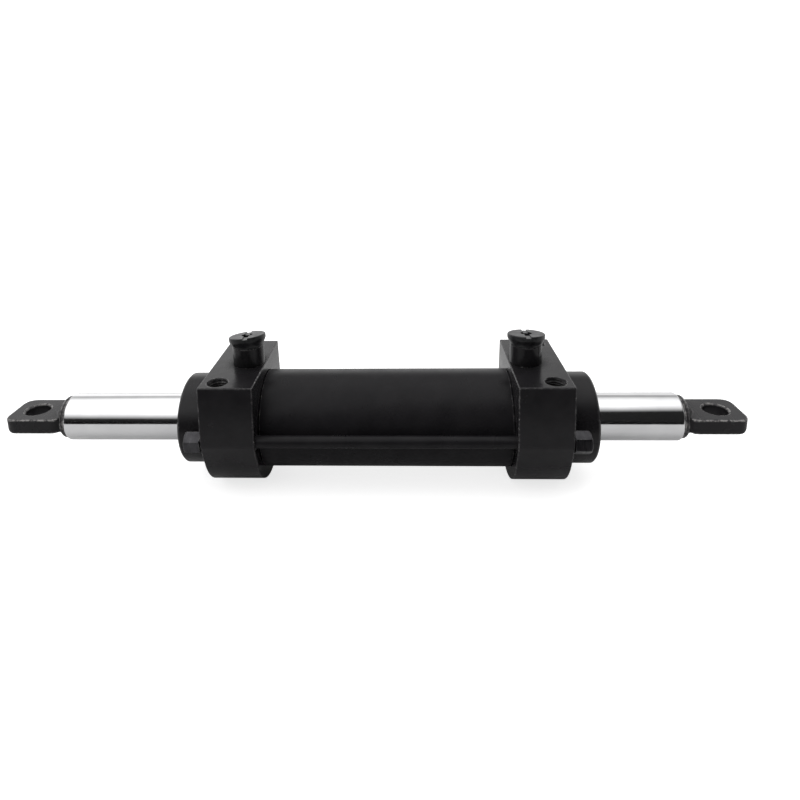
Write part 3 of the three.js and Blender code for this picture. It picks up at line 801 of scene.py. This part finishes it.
for row, way in ROWS.items():
    y = way * TIE_Y
    rod = shifted(tie_rod_mesh(), 0, y, TIE_Z)
    piece(f"{row}_threaded_tie_rod", rod, PAINT, "housing", "black_paint", f"{row}_tie_rod")
    for side, sign in SIDES.items():
        name = f"{side}_{row}_nut"
        ends = sorted((v.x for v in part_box(name)), key=abs)
        nut = shifted(nut_mesh(*ends, nut_turn(name, y)), 0, y, TIE_Z)
        piece(f"{side}_{row}_hex_nut", nut, FASTENER, "housing", "dark_fastener_steel", name)

# ---- port plugs ----
PLUG_RADIUS = 15.6 * MM
PLUG_HEIGHT = 8 * MM
PLUG_SKIRT_RADIUS = 13.2 * MM
PLUG_SKIRT_DEPTH = 4 * MM
PLUG_FLARE_END = 4.2 * MM
PLUG_STEM_RADIUS = 8 * MM
PLUG_STEM_LENGTH = 7 * MM
PLUG_HOLE = 4.7 * MM
SLOT_WIDTH = 4 * MM
SLOT_DEPTH = 1.2 * MM
SLOT_ANGLES = {"left": 0.13, "right": -0.05}


def plug_mesh(tilt):
    """A slotted cap with a stem, about Z, whose zero is the boss's mouth. tilt is how it leans."""
    top = PLUG_HEIGHT
    cap = turned(softened([
        (-PLUG_SKIRT_DEPTH, 0, 0), (-PLUG_SKIRT_DEPTH, PLUG_SKIRT_RADIUS, 0),
        (0, PLUG_SKIRT_RADIUS, 1.5 * MM), (PLUG_FLARE_END, PLUG_RADIUS, 1.2 * MM),
        (top, PLUG_RADIUS, 1.1 * MM), (top, 0, 0),
    ]), 128)
    boss = bmesh.new()
    bmesh.ops.create_cube(boss, size=1.0)
    moved(boss, Matrix.Diagonal((*[3 * PLUG_RADIUS] * 2, 2 * PLUG_SKIRT_DEPTH, 1)))
    shifted(boss, z=PAINTED_GAP - PLUG_SKIRT_DEPTH)
    stem = turned(softened([
        (-PLUG_STEM_LENGTH, 0, 0), (-PLUG_STEM_LENGTH, PLUG_STEM_RADIUS, MM),
        (PLUG_FLARE_END, PLUG_STEM_RADIUS, 0), (PLUG_FLARE_END, 0, 0),
    ]), COARSE)
    half = SLOT_WIDTH / 2
    profile = softened([
        (-half, top - SLOT_DEPTH, 0.4 * MM), (half, top - SLOT_DEPTH, 0.4 * MM),
        (half + 0.3 * MM, top + MM, 0), (-half - 0.3 * MM, top + MM, 0),
    ])
    slot = slab(profile, -PLUG_RADIUS * 1.4, PLUG_RADIUS * 1.4, 0.01 * MM)
    hole = turned(softened([
        (-3 * MM, 0, 0), (-3 * MM, PLUG_HOLE, 0.6 * MM), (top + MM, PLUG_HOLE, 0), (top + MM, 0, 0),
    ]), COARSE)
    return combined(
        moved(cap, TURN_X_TO_Z),
        ("DIFFERENCE", moved(boss, tilt.inverted())),
        ("UNION", moved(stem, TURN_X_TO_Z)),
        ("DIFFERENCE", moved(slot, TURN_SIDE_ON)),
        ("DIFFERENCE", moved(hole, TURN_X_TO_Z)),
    )


pull = {joint["child"]: Vector(joint["axis"]) for joint in frame["joints"]}
for side, sign in SIDES.items():
    lean = Vector((0, 0, 1)).rotation_difference(pull[f"{side}_plug"]).to_matrix().to_4x4()
    spin = Matrix.Rotation(SLOT_ANGLES[side], 4, "Z")
    mouth = Matrix.Translation((sign * port.x, 0, HEAD_TOP + BOSS_HEIGHT))
    plug = moved(plug_mesh(lean @ spin), mouth @ lean @ spin)
    piece(
        f"{side}_slotted_plug", plug, PLASTIC, f"{side}_plug", "black_plastic", f"{side}_port_plug"
    )

# ---- the hidden CAD nodes get their own finishes ----
INNER_FINISHES = {
    "blue_urethane": URETHANE, "bronze_filled_ptfe": BRONZE_PTFE, "black_rubber": RUBBER,
    "machined_steel": STEEL, "dark_fastener_steel": FASTENER,
}
for row in frame["record"]["subparts"]:
    kept = frame["nodes"][row["node"]]
    if not kept.hide_render:
        kept.data.materials.clear()
        kept.data.materials.append(INNER_FINISHES[row["material_slot"]])

# ---- camera ----
CAMERA_PLACE = (0.0197, -0.4905, 0.2137)
CAMERA_TURN = math.radians(2.607)
CAMERA_TILT = math.radians(12.67)
CAMERA_ROLL = math.radians(-1.286)
CAMERA_LENS = 27.6
CAMERA_SHIFT = (0.0245, -0.1946)
camera_data = bpy.data.cameras.new("camera")
camera = bpy.data.objects.new("camera", camera_data)
bpy.context.scene.collection.objects.link(camera)
camera_data.lens = CAMERA_LENS
camera_data.shift_x, camera_data.shift_y = CAMERA_SHIFT
camera.matrix_world = (
    Matrix.Translation(CAMERA_PLACE)
    @ Matrix.Rotation(CAMERA_TURN, 4, "Z")
    @ Matrix.Rotation(math.pi / 2 - CAMERA_TILT, 4, "X")
    @ Matrix.Rotation(CAMERA_ROLL, 4, "Z")
)
bpy.context.scene.camera = camera

# ---- stage and light ----
# A bright ceiling, a dim wall behind, and in front a dark wall that ends in a soft edge, higher to
# the right. A dark strip stands on the floor in front: only reflections show it.
FLOOR_RADIUS = 8.0
FLOOR_WHITE = (0.72, 0.72, 0.72, 1)
FLOOR_GLOW = 0.75
BACKDROP = 1.3
OVERHEAD = 1.75
DARK_FRONT = 0.02
DARK_TOP = (math.radians(25), math.radians(58))
DARK_TOP_TURNS = (math.radians(-16), math.radians(0))
PANEL_EDGE = math.radians(13)
WALL_LEFT = 1.22
WALL_RIGHT = 0.95
BACK_WALL = ((0, 0.80), (9, 1.15), (23, 1.15), (32, 0.55), (40, 0.55), (55, 1.30), (72, 1.75))
STRIP_Y = -0.29
STRIP_TOP = AXIS_Z + 12 * MM
STRIP_HALF_LENGTH = 0.7
floor_mesh = bmesh.new()
bmesh.ops.create_circle(floor_mesh, cap_ends=True, radius=FLOOR_RADIUS, segments=96)
shifted(floor_mesh, z=cad_low.z)
floor = as_object("floor", floor_mesh)

floor_material, tree, shader, place = new_material("pale_floor")
shader.inputs["Base Color"].default_value = FLOOR_WHITE
shader.inputs["Roughness"].default_value = 0.9
seen = node(tree, "ShaderNodeLightPath").outputs["Is Camera Ray"]
shader.inputs["Emission Color"].default_value = (1, 1, 1, 1)
tree.links.new(maths(tree, "MULTIPLY", seen, FLOOR_GLOW), shader.inputs["Emission Strength"])
floor.data.materials.append(floor_material)

strip_mesh = bmesh.new()
strip_foot = (Vector((way * STRIP_HALF_LENGTH, STRIP_Y, cad_low.z + MM)) for way in (-1, 1))
strip_rim = (Vector((way * STRIP_HALF_LENGTH, STRIP_Y, STRIP_TOP)) for way in (1, -1))
strip_mesh.faces.new([strip_mesh.verts.new(corner) for corner in (*strip_foot, *strip_rim)])
strip = as_object("dark_strip", strip_mesh)
strip.visible_camera = False
strip.visible_diffuse = False
strip.visible_shadow = False
strip_material, tree, shader, place = new_material("dark_strip")
shader.inputs["Base Color"].default_value = (0.01, 0.01, 0.01, 1)
shader.inputs["Specular IOR Level"].default_value = 0.0
strip.data.materials.append(strip_material)

world = bpy.data.worlds.new("studio")
world.use_nodes = True
bpy.context.scene.world = world
bpy.context.scene.view_settings.view_transform = "Standard"
tree = world.node_tree
way = node(tree, "ShaderNodeTexCoord").outputs["Generated"]
split = node(tree, "ShaderNodeSeparateXYZ", {0: way})
height = maths(tree, "ARCSINE", split.outputs["Z"])
across = maths(tree, "ARCTAN2", split.outputs["X"], maths(tree, "MULTIPLY", split.outputs["Y"], -1.0))
limit = between(tree, across, *DARK_TOP_TURNS, *DARK_TOP)
above = maths(tree, "SUBTRACT", height, limit)
panel = between(tree, above, -PANEL_EDGE, PANEL_EDGE, DARK_FRONT, OVERHEAD)
behind = between(tree, split.outputs["Y"], -0.05, 0.12, 0.0, 1.0)
steepness = maths(tree, "DIVIDE", height, math.pi / 2)
wall = maths(tree, "MULTIPLY", OVERHEAD, ramp(tree, steepness, *(
    (degrees / 90, (level / OVERHEAD,) * 3) for degrees, level in BACK_WALL
)))
sideways = between(tree, split.outputs["X"], -0.3, 0.25, WALL_LEFT, WALL_RIGHT)
wall = maths(tree, "MULTIPLY", wall, sideways)
glow = node(tree, "ShaderNodeMix", {0: behind, 2: panel, 3: wall}, data_type="FLOAT").outputs[0]
seen = node(tree, "ShaderNodeLightPath").outputs["Is Camera Ray"]
shown = node(tree, "ShaderNodeMix", {0: seen, 2: glow, 3: BACKDROP}, data_type="FLOAT").outputs[0]
tree.links.new(shown, tree.nodes["Background"].inputs["Strength"])
tree.nodes["Background"].inputs["Color"].default_value = (1, 1, 1, 1)
